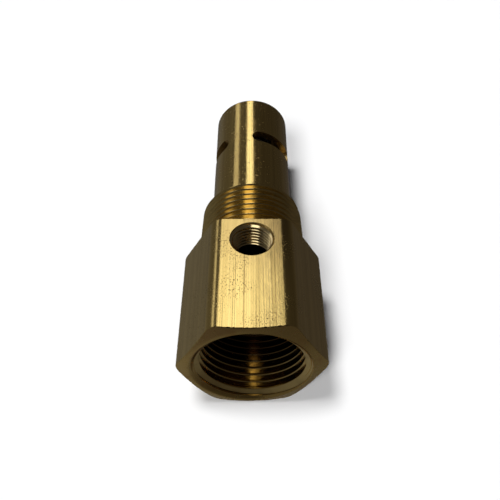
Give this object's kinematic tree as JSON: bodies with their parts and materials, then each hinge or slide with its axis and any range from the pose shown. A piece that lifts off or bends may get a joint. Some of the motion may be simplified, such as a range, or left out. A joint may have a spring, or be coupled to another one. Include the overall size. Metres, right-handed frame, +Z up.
{
  "type": "in-tank check valve",
  "caption": "Brass in-tank check valve: hexagon body with pipe-thread inlet, tapped side port, tapered male thread and slotted discharge tube over a sprung piston.",
  "frame": {"origin": "on the surface that the valve lies on, under the middle of its length and the middle of its width: the centre of the bottom of its bounding box", "axes": "+Y along the valve's axis, from the inlet face to the free end of the discharge tube; +Z up, out of the flat that holds the side port; +X to the right seen from the inlet"},
  "size_m": [0.0336, 0.0856, 0.03],
  "materials": {
    "body_brass": "machined and drawn brass bar, bright, lightly tarnished",
    "tube_brass": "drawn brass tube, turned and speckled",
    "inner_brass": "turned brass",
    "fastener_steel": "plain stainless steel",
    "spring_steel": "drawn stainless spring wire",
    "ptfe": "white PTFE, waxy",
    "bumper_rubber": "black moulded rubber"
  },
  "bodies": {
    "housing": {"inlet_body": "body_brass", "discharge_tube": "tube_brass", "tube_seal_washer": "ptfe", "end_plug": "inner_brass", "retaining_ring": "spring_steel", "return_spring": "spring_steel"},
    "valve_piston": {"piston": "inner_brass", "seat_disc": "ptfe", "disc_washer": "fastener_steel", "disc_screw": "fastener_steel", "stop_bumper": "bumper_rubber"}
  },
  "joints": [
    {"name": "piston_slide", "type": "slide", "parent": "housing", "child": "valve_piston", "axis": [0, 1, 0], "range_m": [0, 0.006], "stiffness_N_per_m": 200, "springref_m": -0.006, "deforming": ["return_spring"]}
  ]
}
